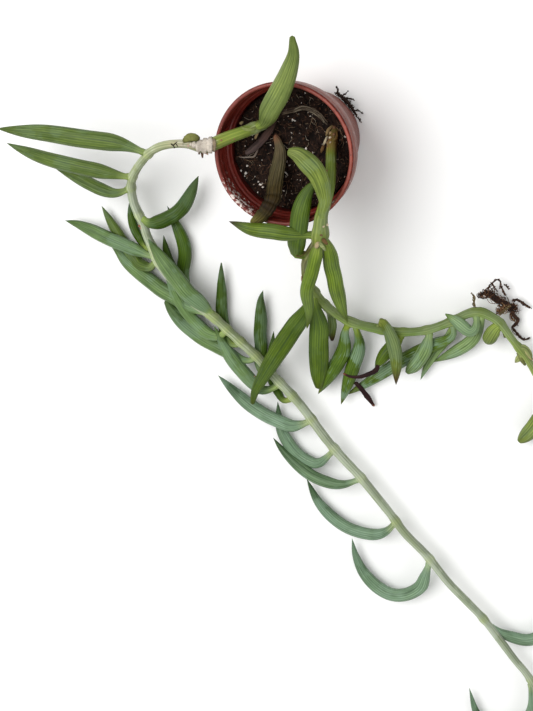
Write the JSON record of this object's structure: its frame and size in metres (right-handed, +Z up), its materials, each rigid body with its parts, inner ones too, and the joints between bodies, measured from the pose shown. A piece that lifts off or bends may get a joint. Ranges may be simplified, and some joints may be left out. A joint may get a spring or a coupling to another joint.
{
  "type": "potted string of bananas",
  "caption": "Small tapered nursery pot of peat with two trailing succulent stems of curved, banana-shaped leaves that climb over the rim and lie along the surface in front.",
  "frame": {"origin": "middle of the pot's foot, on the surface that the pot stands on and that the stems lie along", "axes": "+Z up along the pot's axis; the long stem trails towards -Y, and -X is the side that it leaves the pot by"},
  "size_m": [0.25, 0.334, 0.0627],
  "materials": {
    "pot_plastic": "terracotta-brown moulded plastic with dust and lime marks",
    "peat": "dark peat with white perlite bits and pale fibres",
    "leafy_long": "smooth waxy sage to blue-green leaves with fine darker lines",
    "leafy_short": "smooth waxy yellow-green leaves with fine darker lines",
    "withered": "wrinkled dark olive withered leaf",
    "dried": "flat mauve-brown dried leaf",
    "dried_fibres": "pale frayed dried fibres",
    "black_dried": "shrivelled near-black dried leaf",
    "roots": "matted dark brown dried roots with crumbs of peat"
  },
  "bodies": {
    "root": {"pot": "pot_plastic", "soil": "peat", "long_stem": "leafy_long", "short_stem": "leafy_short", "withered_leaf": "withered", "dried_leaf": "dried", "dry_strand": "dried_fibres", "black_tip": "black_dried", "black_leaf": "black_dried", "root_tuft": "roots", "drain_roots": "roots"}
  },
  "joints": []
}
